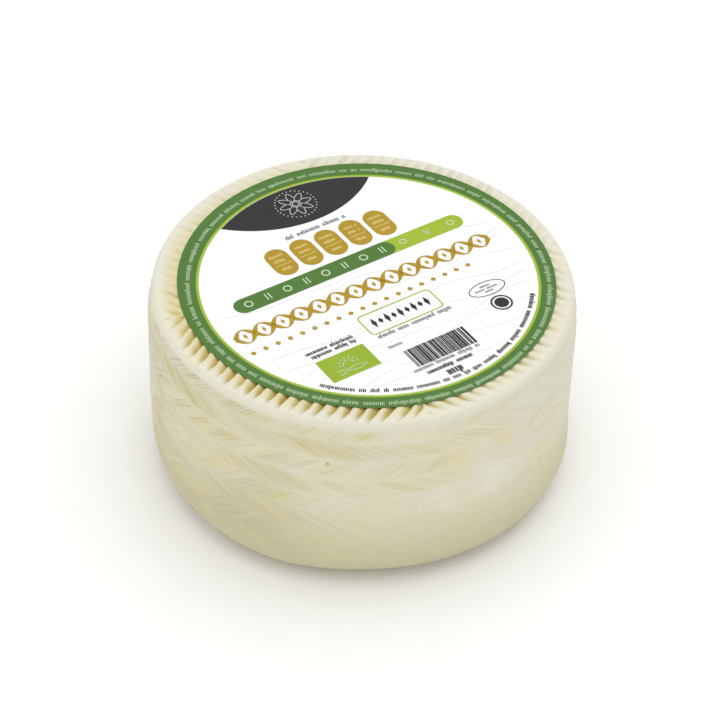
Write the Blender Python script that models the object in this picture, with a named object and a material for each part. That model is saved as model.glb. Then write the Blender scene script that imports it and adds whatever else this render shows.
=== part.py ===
"""A small pressed goat cheese wheel with a round paper label lying on its top.

The wheel is one solid. Its side keeps the herringbone imprint of the plaited band that it was
pressed in, a hollow for each bundle of straw with a ridge between two bundles. Its top edge keeps
the straight grooves of the pressing board, which run in four quarters and die out where the
shoulder falls away. The label is a thin flat disc.

Units are metres. +Z is up, the origin is the centre of the underside, and the label is read with
+X to the right.
"""
import math

import bmesh
import bpy

# Wheel: a drum with a tight shoulder and a wide, soft foot, measured to the weave's ridges
WHEEL_RADIUS = 0.0496
WHEEL_HEIGHT = 0.0500
SHOULDER_RUN = 0.0024
SHOULDER_DROP = 0.0098
FOOT_RUN = 0.0120
FOOT_RISE = 0.0094
FOOT_FULLNESS = 2.4

# Herringbone imprint of the plaited band
BUNDLE_COUNT = 48
COLUMNS_PER_BUNDLE = 5
ROW_HEIGHT = 0.0055
FIRST_ROW_FOOT = 0.0453
WEAVE_TOP = 0.0485
WEAVE_BOTTOM = 0.0035
WEAVE_FADE = 0.0025
WEAVE_DEPTH = 0.0004

# Grooves of the pressing board, in four quarters of parallel lines
QUARTERS = 4
GROOVE_PITCH = 0.00275
GROOVE_WIDTH = 0.0019
GROOVE_DEPTH = 0.0012
GROOVES_EACH_SIDE = 11
GROOVE_START_RADIUS = 0.0415
BOARD_TURN = math.radians(31)
MITRE_LAND = 0.0004
CUTTER_RISE = 0.0004
CUTTER_REACH = 0.0030

# Paper label, a little off centre, as it was laid on by hand
LABEL_RADIUS = 0.0434
LABEL_THICKNESS = 0.0004
LABEL_GAP = 0.0003
LABEL_OFFSET = (0.00090, 0.00000)
LABEL_SIDES = 120

# How far round the rings climb, as turns of the foot's and the shoulder's quarter curves
FOOT_TURNS = (0, 13, 27, 43, 61)
SHOULDER_TURNS = (16, 0)
SHARP_EDGE = math.radians(32)


def clear_scene():
    """Removes whatever the open file holds, so that only this object is left."""
    for obj in list(bpy.data.objects):
        bpy.data.objects.remove(obj)


def make_material(name, colour, roughness):
    """A Principled material of one colour."""
    material = bpy.data.materials.new(name)
    material.use_nodes = True
    shader = material.node_tree.nodes["Principled BSDF"]
    shader.inputs["Base Color"].default_value = (*colour, 1.0)
    shader.inputs["Roughness"].default_value = roughness
    shader.inputs["Metallic"].default_value = 0.0
    return material


def smooth_step(low, high, value):
    """0 below low, 1 above high, and an even S between them."""
    share = min(1.0, max(0.0, (value - low) / (high - low)))
    return share * share * (3 - 2 * share)


def profile_radius(height):
    """Radius of the plain wheel at a height: straight, with a quarter ellipse at the shoulder and a
    fuller one, a superellipse, at the foot.
    """
    over = height - (WHEEL_HEIGHT - SHOULDER_DROP)
    under = FOOT_RISE - height
    if over > 0:
        return WHEEL_RADIUS - SHOULDER_RUN * (1 - math.sqrt(max(0.0, 1 - (over / SHOULDER_DROP) ** 2)))
    if under > 0:
        rest = max(0.0, 1 - (under / FOOT_RISE) ** FOOT_FULLNESS)
        return WHEEL_RADIUS - FOOT_RUN * (1 - rest ** (1 / FOOT_FULLNESS))
    return WHEEL_RADIUS


def ring_heights():
    """Heights of the wheel's rings from the underside up: the foot, the weave's rows, the shoulder."""
    heights = [FOOT_RISE * (1 - math.cos(math.radians(turn))) for turn in FOOT_TURNS]
    rows = int((FIRST_ROW_FOOT - heights[-1]) / ROW_HEIGHT)
    heights += [FIRST_ROW_FOOT - ROW_HEIGHT * row for row in range(rows, -1, -1)]
    heights.append(WEAVE_TOP)
    shoulder_foot = WHEEL_HEIGHT - SHOULDER_DROP
    heights += [shoulder_foot + SHOULDER_DROP * math.cos(math.radians(turn)) for turn in SHOULDER_TURNS]
    return heights


def row_lean(height):
    """How far a bundle has moved round at a height, in bundles: it leans one way, then the other."""
    rows_down = (FIRST_ROW_FOOT - min(height, WEAVE_TOP)) / ROW_HEIGHT
    return 1 - abs(rows_down % 2 - 1)


def weave_hollow(column, height):
    """How deep a bundle of the weave has pressed in at this column: an arch between two ridges."""
    share = (column % COLUMNS_PER_BUNDLE) / COLUMNS_PER_BUNDLE
    fade = smooth_step(WEAVE_TOP, WEAVE_TOP - WEAVE_FADE, height)
    fade *= smooth_step(WEAVE_BOTTOM, WEAVE_BOTTOM + WEAVE_FADE, height)
    return WEAVE_DEPTH * math.sin(math.pi * share) * fade


def make_wheel():
    """The drum with the weave in its side, closed by flat faces above and below."""
    columns = BUNDLE_COUNT * COLUMNS_PER_BUNDLE
    mesh = bmesh.new()
    rings = []
    for height in ring_heights():
        ring = []
        for column in range(columns):
            turn = (column / COLUMNS_PER_BUNDLE + row_lean(height)) / BUNDLE_COUNT
            angle = 2 * math.pi * turn
            radius = profile_radius(height) - weave_hollow(column, height)
            ring.append(mesh.verts.new((radius * math.cos(angle), radius * math.sin(angle), height)))
        rings.append(ring)
    for lower, upper in zip(rings, rings[1:]):
        for column in range(columns):
            after = (column + 1) % columns
            mesh.faces.new((lower[column], lower[after], upper[after], upper[column]))
    mesh.faces.new(rings[0][::-1])
    mesh.faces.new(rings[-1])
    data = bpy.data.meshes.new("cheese_wheel")
    mesh.to_mesh(data)
    mesh.free()
    wheel = bpy.data.objects.new("cheese_wheel", data)
    bpy.context.scene.collection.objects.link(wheel)
    return wheel


def add_groove(mesh, across, direction):
    """A V-shaped prism along direction, across metres to the side of the quarter's middle line.

    Its inner end is cut along the mitre with the next quarter, so that two quarters never touch.
    """
    half_top = GROOVE_WIDTH / 2 * (1 + CUTTER_RISE / GROOVE_DEPTH)
    section = (
        (across - half_top, WHEEL_HEIGHT + CUTTER_RISE),
        (across, WHEEL_HEIGHT - GROOVE_DEPTH),
        (across + half_top, WHEEL_HEIGHT + CUTTER_RISE),
    )
    inner_circle = math.sqrt(GROOVE_START_RADIUS**2 - across**2)
    ahead = (math.cos(direction), math.sin(direction))
    ends = ([], [])
    for side, height in section:
        start = max(inner_circle, abs(side) + MITRE_LAND)
        for end, along in zip(ends, (start, WHEEL_RADIUS + CUTTER_REACH)):
            x = along * ahead[0] - side * ahead[1]
            y = along * ahead[1] + side * ahead[0]
            end.append(mesh.verts.new((x, y, height)))
    inner, outer = ends
    mesh.faces.new(inner)
    mesh.faces.new(outer[::-1])
    for corner in range(len(section)):
        after = (corner + 1) % len(section)
        mesh.faces.new((inner[after], inner[corner], outer[corner], outer[after]))


def make_board_cutter():
    """All the pressing board's ridges, as one hidden cutter."""
    mesh = bmesh.new()
    for quarter in range(QUARTERS):
        direction = BOARD_TURN + quarter * 2 * math.pi / QUARTERS
        for groove in range(-GROOVES_EACH_SIDE, GROOVES_EACH_SIDE + 1):
            add_groove(mesh, groove * GROOVE_PITCH, direction)
    bmesh.ops.recalc_face_normals(mesh, faces=mesh.faces)
    data = bpy.data.meshes.new("pressing_board")
    mesh.to_mesh(data)
    mesh.free()
    cutter = bpy.data.objects.new("pressing_board", data)
    bpy.context.scene.collection.objects.link(cutter)
    cutter.hide_render = True
    cutter.display_type = "WIRE"
    return cutter


def press_grooves(wheel, cutter):
    """Cuts the board's grooves into the wheel's top edge."""
    cut = wheel.modifiers.new("board_grooves", "BOOLEAN")
    cut.operation = "DIFFERENCE"
    cut.solver = "EXACT"
    cut.object = cutter


def make_label():
    """The paper disc, resting just clear of the lands between the grooves."""
    bpy.ops.mesh.primitive_cylinder_add(
        vertices=LABEL_SIDES,
        radius=LABEL_RADIUS,
        depth=LABEL_THICKNESS,
        location=(*LABEL_OFFSET, WHEEL_HEIGHT + LABEL_GAP + LABEL_THICKNESS / 2),
    )
    label = bpy.context.object
    label.name = "paper_label"
    return label


def finish_piece(obj, material):
    """Gives a piece its material and smooth shading with true edges kept."""
    obj.data.materials.clear()
    obj.data.materials.append(material)
    obj.data.shade_smooth()
    obj.data.set_sharp_from_angle(angle=SHARP_EDGE)


def main():
    clear_scene()
    rind = make_material("pressed_goat_cheese", (0.75, 0.68, 0.48), 0.5)
    paper = make_material("label_paper", (0.90, 0.90, 0.88), 0.45)
    wheel = make_wheel()
    finish_piece(wheel, rind)
    press_grooves(wheel, make_board_cutter())
    finish_piece(make_label(), paper)


main()
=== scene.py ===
import math

import bmesh
import bpy
import numpy as np
from mathutils import Matrix, Vector


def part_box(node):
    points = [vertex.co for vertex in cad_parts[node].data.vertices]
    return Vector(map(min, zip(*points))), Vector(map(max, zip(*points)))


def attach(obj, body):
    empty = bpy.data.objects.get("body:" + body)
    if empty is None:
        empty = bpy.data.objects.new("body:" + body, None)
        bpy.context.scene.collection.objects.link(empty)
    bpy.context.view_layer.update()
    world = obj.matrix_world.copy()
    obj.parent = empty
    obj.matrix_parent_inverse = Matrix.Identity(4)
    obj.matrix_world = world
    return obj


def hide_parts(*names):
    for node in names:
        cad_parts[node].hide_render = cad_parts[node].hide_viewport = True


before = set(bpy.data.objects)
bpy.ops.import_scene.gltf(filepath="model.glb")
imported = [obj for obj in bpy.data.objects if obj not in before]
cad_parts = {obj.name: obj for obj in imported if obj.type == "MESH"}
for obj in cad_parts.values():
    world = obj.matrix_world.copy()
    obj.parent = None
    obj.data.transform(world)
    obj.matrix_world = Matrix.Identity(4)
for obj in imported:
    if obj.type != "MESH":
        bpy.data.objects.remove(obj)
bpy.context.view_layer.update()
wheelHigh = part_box("cheese_wheel")[1]
labelLow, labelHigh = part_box("paper_label")
print("frame loaded:", ", ".join(sorted(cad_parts)))


def smoothStep(low, high, value):
    # 0 below low, 1 above high, an even S between them
    share = np.clip((value - low) / (high - low), 0.0, 1.0)
    return share * share * (3 - 2 * share)


def lowPart(a, b, blend):
    # the lower of two heights, with the crease between them rounded off over blend
    near = np.clip(1 - np.abs(a - b) / blend, 0.0, 1.0)
    return np.minimum(a, b) - near * near * blend / 4


def aroundAxis(table, angle):
    # straight lines between the strengths at the given directions, all the way round
    degrees, strengths = np.array(table).T
    return np.interp(angle, np.radians(degrees), strengths, period=2 * math.pi)


def roundRipple(angle, height, rng, waves, tallest, tall=0.05):
    # sum of cosines of whole turns round the axis and a few up the side, between about -1 and 1
    total = np.zeros(np.broadcast(angle, height).shape)
    for _ in range(waves):
        turns = rng.integers(1, tallest)
        rise = rng.uniform(-tallest, tallest) / tall
        total += np.cos(turns * angle + rise * height + rng.uniform(0, 2 * math.pi))
    return total / math.sqrt(2 * waves)


def newObject(name, mesh, material):
    # an object at the origin that shows the mesh
    mesh.materials.append(material)
    piece = bpy.data.objects.new(name, mesh)
    bpy.context.scene.collection.objects.link(piece)
    return piece


# Nodes

def newMaterial(name):
    # a new material, its node tree and its shader
    material = bpy.data.materials.new(name)
    material.use_nodes = True
    tree = material.node_tree
    return material, tree, tree.nodes["Principled BSDF"]


def addNode(tree, kind, **settings):
    # a shader node with these settings
    node = tree.nodes.new("ShaderNode" + kind)
    for key, value in settings.items():
        setattr(node, key, value)
    return node


def feed(tree, socket, source):
    # a number or colour is set on the socket, anything else is linked to it
    if hasattr(source, "is_output"):
        tree.links.new(source, socket)
    else:
        socket.default_value = source
    return socket


def doMaths(tree, operation, *values, clamp=False):
    # one sum of numbers or of other nodes' values
    node = addNode(tree, "Math", operation=operation, use_clamp=clamp)
    for socket, value in zip(node.inputs, values):
        feed(tree, socket, value)
    return node.outputs[0]


def mixColours(tree, share, first, second, blend="MIX"):
    # the first colour at share 0, the second at 1
    node = addNode(tree, "Mix", data_type="RGBA", blend_type=blend)
    feed(tree, node.inputs[0], share)
    feed(tree, node.inputs[6], first)
    feed(tree, node.inputs[7], second)
    return node.outputs[2]


def rescale(tree, value, fromLow, fromHigh, toLow=0.0, toHigh=1.0, smooth=False):
    # carries one range of values to another, held at both ends
    node = addNode(tree, "MapRange", interpolation_type="SMOOTHSTEP" if smooth else "LINEAR")
    for socket, number in zip(node.inputs, (value, fromLow, fromHigh, toLow, toHigh)):
        feed(tree, socket, number)
    return node.outputs[0]


def addNoise(tree, where, scale, detail=3.0, roughness=0.55):
    # noise with this many lumps to a metre
    node = addNode(tree, "TexNoise")
    feed(tree, node.inputs["Vector"], where)
    node.inputs["Scale"].default_value = scale
    node.inputs["Detail"].default_value = detail
    node.inputs["Roughness"].default_value = roughness
    return node.outputs["Fac"]


def addBump(tree, height, distance, strength, below=None):
    # bump of this height in metres, on top of the bump below it
    node = addNode(tree, "Bump")
    node.inputs["Distance"].default_value = distance
    node.inputs["Strength"].default_value = strength
    feed(tree, node.inputs["Height"], height)
    if below is not None:
        tree.links.new(below, node.inputs["Normal"])
    return node.outputs[0]


def objectCoordinates(tree):
    return addNode(tree, "TexCoord").outputs["Object"]


def readAttribute(tree, name):
    return addNode(tree, "Attribute", attribute_name=name).outputs["Fac"]


# Cheese: the form of the wheel

wheel = dict(
    radius=wheelHigh.x, height=wheelHigh.z, seed=11,
    shoulderRun=0.0024, shoulderDrop=0.0098, footRun=0.0120, footRise=0.0094, footFullness=2.4,
    bundles=48, columnsPerBundle=25, strandsPerBundle=5, lean=1.44, drift=0.22,
    rowHeight=0.0055, firstRowFoot=0.0453, weaveTop=0.0485, rows=7, ringsPerRow=5,
    hiddenRings=(0.0300, 0.0400), rimStart=0.0412, rimRings=18, shoulderRings=10, footRings=12,
    underRings=(0.72, 0.40),
    hollow=0.00034, strandHollow=0.00014, rowEnds=0.70, strandEnds=0.45, endPower=0.6,
    topFade=0.0010, footFade=(5.8, 7.6), pressMean=0.95, pressSpread=0.25, pressRange=(0.4, 1.3),
    bundleSpread=(0.30, 1.30), strandSpread=(0.15, 1.45),
    wanderAngle=0.0055, wanderHeight=0.00045, lumps=0.00016, lumpFade=0.004,
    dimples=0.00004, dimpleReach=(0.0455, 0.0465),
    tuckReach=(0.0385, 0.0455), tuckHeight=(0.006, 0.017), tuckUnit=0.001,
)
# each ripple's number of waves, and the most turns that one of them makes round the wheel
ripples = dict(press=(14, 9), wander=(12, 14), slide=(10, 9), lumps=(16, 7), dimples=(40, 90))
board = dict(
    turn=math.radians(31), quarters=4, pitch=0.00275, width=0.0024, depth=0.0012, grooves=12,
    startRadius=0.0415, mitreLand=0.0001, ramp=0.0003, rounding=0.00022, bottom=0.01, deepest=0.42,
    wander=0.00010, widthSpread=(0.80, 1.06), depthSpread=(0.70, 1.10), reachSpread=0.0006, seed=5,
    taper=(0.0433, 0.0490), taperPower=1.8, widthReach=(0.0436, 0.0470), widthShares=(1.12, 0.82),
    shelf=0.76, shelfReach=(0.0432, 0.0448),
    # how far a groove snakes, and how fast along it, across it and from quarter to quarter
    snaking=((0.00007, 900, 0, 7), (0.00005, 2100, 800, 0)),
)
# where each stain of the rind and the painted shade at its foot lie, by height or by distance from the axis,
# and how strong they are
stainsAndShade = dict(
    tintPower=1.4, honeyGain=1.6, honeyPower=0.25, grooveLoss=0.8, grooveFade=(0.0438, 0.0476),
    rimFade=(0.0436, 0.0474), paleLow=0.35, paleHeight=(0.008, 0.036),
    paleRimReach=(0.0425, 0.0455), paleRimHeight=(0.0462, 0.0484), footShadeFrom=0.003,
)

# in the tables below a direction round the axis, in degrees, comes first in each pair
rimGold = (  # strength of the gold in the grooves
    (12, 0.30), (60, 0.35), (100, 0.45), (125, 0.55), (147, 0.65), (162, 0.85), (177, 1.0),
    (207, 1.1), (237, 1.05), (252, 0.95), (267, 0.85), (297, 0.85), (327, 0.65),
)
rimTint = (  # strength of the rim's own yellow
    (20, 0.26), (60, 0.25), (100, 0.30), (130, 0.72), (155, 1.0), (180, 0.84),
    (205, 0.68), (240, 0.50), (275, 0.36), (300, 0.38), (330, 0.32),
)
rimRise = (  # how much the board rose outwards
    (0, 0.50), (40, 0.35), (105, 0.35), (140, 0.65), (165, 0.85), (225, 0.85),
    (262, 0.90), (285, 0.65), (315, 0.55),
)
rimDepth = (  # how deep the board pressed
    (0, 0.85), (60, 0.95), (100, 0.90), (117, 0.75), (147, 0.60), (165, 0.80),
    (180, 1.0), (207, 1.05), (240, 1.0), (262, 0.82), (285, 0.68), (315, 0.68),
)
weaveRound = (  # how deep the plaited band pressed
    (0, 0.65), (60, 0.60), (120, 0.80), (175, 1.28), (202, 1.24),
    (222, 0.80), (240, 0.55), (258, 0.45), (280, 0.42), (300, 0.55),
)
footTuck = (  # how far the foot is tucked in, in millimetres, less than 0 where it bulges
    (0, 0.0), (60, 0.25), (100, 0.10), (130, 0.35), (147, 0.50), (160, 0.45), (180, 0.34),
    (196, 0.25), (206, 0.0), (218, 0.0), (225, 0.37), (237, 0.69), (243, 0.85), (250, 0.75),
    (263, 0.57), (272, 0.40), (286, 0.05), (303, -0.16), (315, -0.50), (330, -0.50),
)
footShadeTop = (  # how high up the side the painted shade at the foot reaches, in metres
    (0, 0.029), (168, 0.029), (186, 0.036), (200, 0.041), (212, 0.041), (226, 0.033), (245, 0.029),
)
paleRound = (  # how pale the side is
    (-33, 0.9), (40, 0.7), (120, 0.7), (160, 0.75), (176, 0.32), (190, 0.20),
    (212, 0.22), (228, 0.40), (245, 0.45), (270, 0.65), (291, 0.90),
)
# the weave's strength again, this time by rows down from the first corner of the zigzag
weaveDown = ((-1, 0.90), (0.4, 1.12), (1.6, 0.94), (3, 0.84), (5, 0.70), (7, 0.45))


def plainRadius(height):
    # straight side, with a quarter ellipse at the shoulder and a fuller superellipse at the foot
    full = wheel["footFullness"]
    over = np.clip(height - (wheel["height"] - wheel["shoulderDrop"]), 0, None) / wheel["shoulderDrop"]
    under = np.clip(wheel["footRise"] - height, 0, None) / wheel["footRise"]
    inset = wheel["shoulderRun"] * (1 - np.sqrt(np.clip(1 - over**2, 0, 1)))
    inset += wheel["footRun"] * (1 - np.clip(1 - under**full, 0, 1) ** (1 / full))
    return wheel["radius"] - inset


def wheelRings():
    # radius, height and rows below the first zigzag corner of each ring, from the top to the underside
    flatRadius = wheel["radius"] - wheel["shoulderRun"]
    rim = np.linspace(wheel["rimStart"], flatRadius, wheel["rimRings"])
    rim = np.concatenate([wheel["hiddenRings"], rim])
    reach = (wheel["weaveTop"] - wheel["height"] + wheel["shoulderDrop"]) / wheel["shoulderDrop"]
    turn = np.linspace(0, math.acos(reach), wheel["shoulderRings"] + 1)[1:]
    shoulder = wheel["height"] - wheel["shoulderDrop"] * (1 - np.cos(turn))
    firstRow = np.linspace(wheel["weaveTop"], wheel["firstRowFoot"], wheel["ringsPerRow"])[1:]
    steps = np.arange(1, wheel["rows"] * wheel["ringsPerRow"] + 1) / wheel["ringsPerRow"]
    rows = wheel["firstRowFoot"] - wheel["rowHeight"] * steps
    footTurn = math.acos(1 - rows[-1] / wheel["footRise"])
    turn = np.linspace(footTurn, 0, wheel["footRings"] + 1)[1:]
    foot = wheel["footRise"] * (1 - np.cos(turn))
    side = np.concatenate([shoulder, firstRow, rows, foot])
    under = np.array(wheel["underRings"]) * (wheel["radius"] - wheel["footRun"])
    radius = np.concatenate([rim, plainRadius(side), under])
    height = np.concatenate([np.full(len(rim), wheel["height"]), side, np.zeros(len(under))])
    # below the last full row the zigzag goes on by the length of the surface, not by its height
    lowest = wheel["firstRowFoot"] - wheel["rowHeight"] * wheel["rows"]
    rowsDown = (wheel["firstRowFoot"] - np.clip(height, lowest, wheel["weaveTop"])) / wheel["rowHeight"]
    path = np.concatenate([[0], np.cumsum(np.hypot(np.diff(radius), np.diff(height)))])
    start = np.interp(lowest, height[::-1], path[::-1])
    rowsDown += np.clip(path - start, 0, None) / wheel["rowHeight"]
    return radius, height, rowsDown


def pressBoard(x, y):
    # how deep the board's ridges reach at x, y: V grooves, parallel in each quarter and mitred
    # where two quarters meet, less the height that the board rose by there
    rng = np.random.default_rng(board["seed"])
    shape = (board["quarters"], 2 * board["grooves"] + 3)
    depths = rng.uniform(*board["depthSpread"], shape)
    shifts = rng.normal(0, board["wander"], shape)
    widths = rng.uniform(*board["widthSpread"], shape)
    reaches = rng.uniform(-board["reachSpread"], board["reachSpread"], shape)
    bearing = np.arctan2(y, x)
    angle = bearing - board["turn"]
    quarterTurn = 2 * math.pi / board["quarters"]
    quarter = np.round(angle / quarterTurn)
    local = angle - quarter * quarterTurn
    reach = np.hypot(x, y)
    along, across = reach * np.cos(local), reach * np.sin(local)
    snake = sum(
        size * np.sin(alongRate * along + acrossRate * across + step * quarter)
        for size, alongRate, acrossRate, step in board["snaking"]
    )
    across = across + snake
    quarter = (quarter % board["quarters"]).astype(int)
    nearest = np.clip(np.round(across / board["pitch"]), -board["grooves"], board["grooves"])
    index = (nearest + board["grooves"] + 1).astype(int)
    narrowing = np.interp(reach, board["widthReach"], board["widthShares"])
    half = board["width"] / 2 * widths[quarter, index] * narrowing
    off = (across - nearest * board["pitch"] - shifts[quarter, index]) / half - board["deepest"]
    # one flank is long and shallow, the other short and steep
    off = off / np.where(off < 0, 1 + board["deepest"], 1 - board["deepest"])
    section = (1 - np.sqrt(off**2 + board["bottom"])) / (1 - math.sqrt(board["bottom"]))
    section = np.clip(section, 0, 1)
    circle = np.sqrt(np.clip(board["startRadius"] ** 2 - across**2, 0, None))
    inner = np.maximum(circle, np.abs(across) + board["mitreLand"])
    section *= smoothStep(0, board["ramp"], along - inner)
    section *= np.interp(reach, board["shelfReach"], (board["shelf"], 1))
    # the board rose outwards, so that each groove narrows to a point
    start, end = board["taper"]
    rise = np.clip((reach + reaches[quarter, index] - start) / (end - start), 0, None)
    rise = rise ** board["taperPower"]
    cut = depths[quarter, index] * section * aroundAxis(rimDepth, bearing)
    return board["depth"] * (cut - rise * aroundAxis(rimRise, bearing))


def weaveMarks(rng, column, rowsDown):
    # the row, bundle and strand that each point lies in: its place across the bundle, how deep the
    # bundle pressed, how yellow it is and how deep the strand pressed
    row = np.floor(rowsDown).astype(int)[:, None] + 1
    moved = column + row % 2 * (wheel["columnsPerBundle"] // 2)
    share = (moved % wheel["columnsPerBundle"]) / wheel["columnsPerBundle"]
    bundle = moved // wheel["columnsPerBundle"] % wheel["bundles"]
    strandCount = wheel["bundles"] * wheel["strandsPerBundle"]
    strand = (moved * wheel["strandsPerBundle"] // wheel["columnsPerBundle"]) % strandCount
    shape = (row.max() + 1, wheel["bundles"])
    bundleDepth = rng.uniform(*wheel["bundleSpread"], shape)[row, bundle]
    bundleTint = (rng.uniform(0.0, 1.0, shape) ** stainsAndShade["tintPower"])[row, bundle]
    strandDepth = rng.uniform(*wheel["strandSpread"], (shape[0], strandCount))[row, strand]
    return share, bundleDepth, bundleTint, strandDepth


def sideStainsAndShade(angle, radius, height):
    # how pale each point is, and how much painted shade it takes at the foot, darker towards the bottom
    pale = smoothStep(*stainsAndShade["paleHeight"], height)
    pale = aroundAxis(paleRound, angle) * (stainsAndShade["paleLow"] + (1 - stainsAndShade["paleLow"]) * pale)
    paleRim = smoothStep(*stainsAndShade["paleRimReach"], radius)
    paleRim = paleRim * smoothStep(*stainsAndShade["paleRimHeight"], height)
    # painted shade: the side darkened towards the bottom, as under light from above
    foot = 1 - smoothStep(stainsAndShade["footShadeFrom"], aroundAxis(footShadeTop, angle), height)
    return pale + (1 - pale) * paleRim, foot


def rimStains(angle, radius, depth, topSide):
    # the gold that gathered in the grooves by their depth, and the yellow of the rim round them
    groove = np.where(topSide, np.clip(depth / board["depth"], 0, 1), 0)
    fade = 1 - stainsAndShade["grooveLoss"] * smoothStep(*stainsAndShade["grooveFade"], radius)
    stain = groove * aroundAxis(rimGold, angle) * fade
    stain = stain / np.interp(radius, board["shelfReach"], (board["shelf"], 1))
    tint = topSide * aroundAxis(rimTint, angle) * (1 - smoothStep(*stainsAndShade["rimFade"], radius))
    return stain, tint


def wheelSurface():
    # the profile turned round the axis, its columns leaning one way and then the other from row to row,
    # pressed in along its normals by the weave and from above by the board
    rng = np.random.default_rng(wheel["seed"])
    ringRadius, ringHeight, rowsDown = wheelRings()
    columns = wheel["bundles"] * wheel["columnsPerBundle"]
    column = np.arange(columns)[None, :]
    lean = wheel["lean"] * (1 - np.abs(rowsDown % 2 - 1)) + wheel["drift"] * rowsDown
    angle = 2 * math.pi * (column / columns + lean[:, None] / wheel["bundles"])
    radius, height = ringRadius[:, None], ringHeight[:, None]
    runOut, rise = np.gradient(ringRadius), np.gradient(ringHeight)
    length = np.hypot(runOut, rise)
    tangent = np.stack([runOut, rise])[:, :, None] / length[:, None]
    outward = np.stack([-tangent[1], tangent[0]])

    # the imprint is strongest high on the left, and dies out at the shoulder and the foot
    down = rowsDown[:, None]
    fade = smoothStep(wheel["weaveTop"], wheel["weaveTop"] - wheel["topFade"], height)
    fade = fade * (1 - smoothStep(*wheel["footFade"], down))
    patch = roundRipple(angle, height, rng, *ripples["press"])
    strength = aroundAxis(weaveRound, angle) * np.interp(down, *np.array(weaveDown).T)
    uneven = np.clip(wheel["pressMean"] + wheel["pressSpread"] * patch, *wheel["pressRange"])
    press = fade * strength * uneven

    # the rows wander a little, round the axis and along the profile
    wander = fade * roundRipple(angle, height, rng, *ripples["wander"])
    angle = angle + wheel["wanderAngle"] * wander
    slide = wheel["wanderHeight"] * fade * roundRipple(angle, height, rng, *ripples["slide"])
    radius = radius + tangent[0] * slide
    height = height + tangent[1] * slide

    # each bundle of straw pressed a hollow that ends with its row, with a finer one for each strand
    share, bundleDepth, bundleTint, strandDepth = weaveMarks(rng, column, rowsDown)
    ends = np.sin(math.pi * (down % 1)) ** wheel["endPower"]
    arch = np.sin(math.pi * share)
    strands = np.abs(np.sin(math.pi * wheel["strandsPerBundle"] * share)) * strandDepth
    strands = strands * (wheel["strandEnds"] + (1 - wheel["strandEnds"]) * ends)
    hollow = wheel["hollow"] * arch * bundleDepth * (wheel["rowEnds"] + (1 - wheel["rowEnds"]) * ends)
    hollow = hollow + wheel["strandHollow"] * strands

    # broad lumps, small dimples and the tuck of the foot
    body = smoothStep(wheel["height"], wheel["height"] - wheel["lumpFade"], height)
    body = body * smoothStep(0, wheel["lumpFade"], height)
    lumpy = np.clip(0.5 + 0.5 * roundRipple(angle, height, rng, *ripples["lumps"]), 0, 1)
    dimpled = np.clip(roundRipple(angle, height, rng, *ripples["dimples"]), 0, 2)
    dimpled = smoothStep(*wheel["dimpleReach"], radius) * dimpled
    tuck = smoothStep(*wheel["tuckReach"], radius) * (1 - smoothStep(*wheel["tuckHeight"], height))
    tuck = wheel["tuckUnit"] * aroundAxis(footTuck, angle) * tuck
    inward = press * hollow + wheel["lumps"] * body * lumpy + wheel["dimples"] * dimpled + tuck
    radius = radius - outward[0] * inward
    height = height - outward[1] * inward

    # the board pressed last, from above
    x, y = radius * np.cos(angle), radius * np.sin(angle)
    boardHeight = wheel["height"] + board["rounding"] / 2 - pressBoard(x, y)
    topSide = height > wheel["height"] / 2
    pressed = np.where(topSide, lowPart(height, boardHeight, board["rounding"]), height)
    stain, tint = rimStains(angle, radius, height - pressed, topSide)
    pale, foot = sideStainsAndShade(angle, radius, height)
    honey = np.clip(press * stainsAndShade["honeyGain"], 0, 1)
    honey = honey * (arch * ends) ** stainsAndShade["honeyPower"] * bundleTint
    # the foot's share is painted shade, the side darkened towards the bottom
    shares = dict(
        stainShare=stain, tintShare=tint, honeyShare=honey, strandShare=press * strands,
        paleShare=pale, footShadeShare=foot, pressShare=press,
    )
    return np.stack([x, y, pressed], axis=-1), shares, rowsDown


def turnedMesh(name, points, topPoint, lowPoint):
    # quads between neighbouring rings, closed by a fan at each pole
    rings, columns = points.shape[:2]
    vertices = np.vstack([points.reshape(-1, 3), [topPoint], [lowPoint]])
    start = np.arange(rings - 1)[:, None] * columns
    here = np.arange(columns)[None, :]
    after = (here + 1) % columns
    quads = np.stack([start + here, start + columns + here, start + columns + after, start + after], axis=-1)
    first, last = rings * columns, rings * columns + 1
    lowRing = (rings - 1) * columns
    topFan = np.stack([np.full(columns, first), here[0], after[0]], axis=-1)
    lowFan = np.stack([np.full(columns, last), lowRing + after[0], lowRing + here[0]], axis=-1)
    mesh = bpy.data.meshes.new(name)
    mesh.from_pydata(vertices, [], quads.reshape(-1, 4).tolist() + topFan.tolist() + lowFan.tolist())
    mesh.shade_smooth()
    return mesh


def addWheelData(mesh, shares, rowsDown):
    # per-vertex shares of each stain, and a map with bundles across and rows down
    rings, columns = shares["pressShare"].shape
    for name, share in shares.items():
        values = np.concatenate([share.ravel(), [0.0, 0.0]]).astype(np.float32)
        mesh.attributes.new(name, "FLOAT", "POINT").data.foreach_set("value", values)
    here = np.broadcast_to(np.arange(columns)[None, :], (rings - 1, columns))
    across = np.stack([here, here, here + 1, here + 1], axis=-1) / wheel["columnsPerBundle"]
    upper = np.broadcast_to(rowsDown[:-1, None], (rings - 1, columns))
    lower = np.broadcast_to(rowsDown[1:, None], (rings - 1, columns))
    down = np.stack([upper, lower, lower, upper], axis=-1)
    body = np.stack([across, down], axis=-1).reshape(-1, 2)
    fans = np.zeros((6 * columns, 2))
    layer = mesh.uv_layers.new(name="weaveMap")
    layer.data.foreach_set("uv", np.vstack([body, fans]).astype(np.float32).ravel())


# Cheese: colours and finish

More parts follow.
